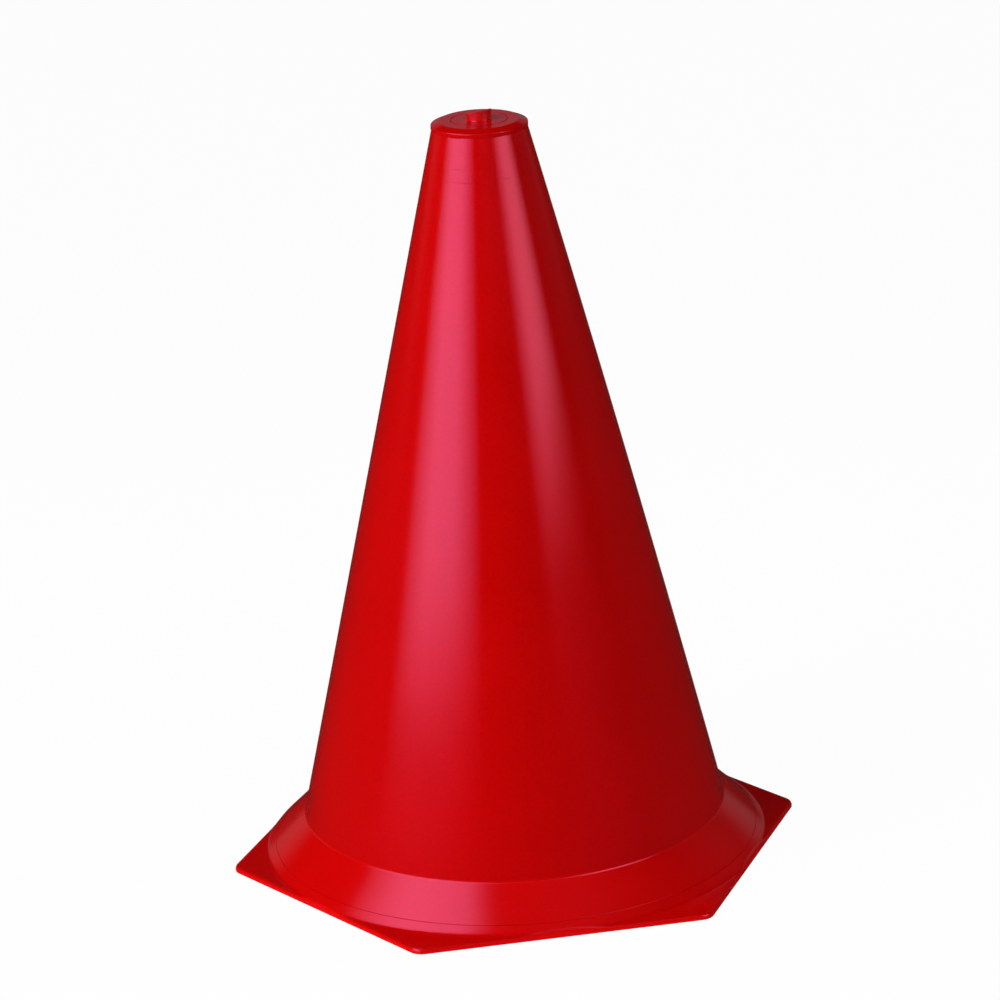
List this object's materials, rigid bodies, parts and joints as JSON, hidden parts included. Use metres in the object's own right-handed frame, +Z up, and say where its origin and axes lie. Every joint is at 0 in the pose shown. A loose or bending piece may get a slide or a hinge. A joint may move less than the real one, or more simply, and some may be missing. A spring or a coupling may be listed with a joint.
{
  "type": "sports marker cone",
  "caption": "Hollow tapered marker cone in red plastic on a hexagonal flange, with a flared skirt, a rounded top cap and a short sheared stub; stands on a floor or lawn to mark a spot.",
  "frame": {"origin": "on the floor under the cone's axis, at the middle of the flange's underside", "axes": "+Z up along the cone's axis, +X through a corner of the hexagonal flange, +Y through the middle of one of its sides"},
  "size_m": [0.176, 0.1536, 0.2324],
  "materials": {
    "red_plastic": "satin moulded"
  },
  "bodies": {
    "root": {"cone_body": "red_plastic", "top_cap": "red_plastic", "centre_plug": "red_plastic", "skirt_collar": "red_plastic", "hex_flange": "red_plastic"}
  },
  "joints": []
}
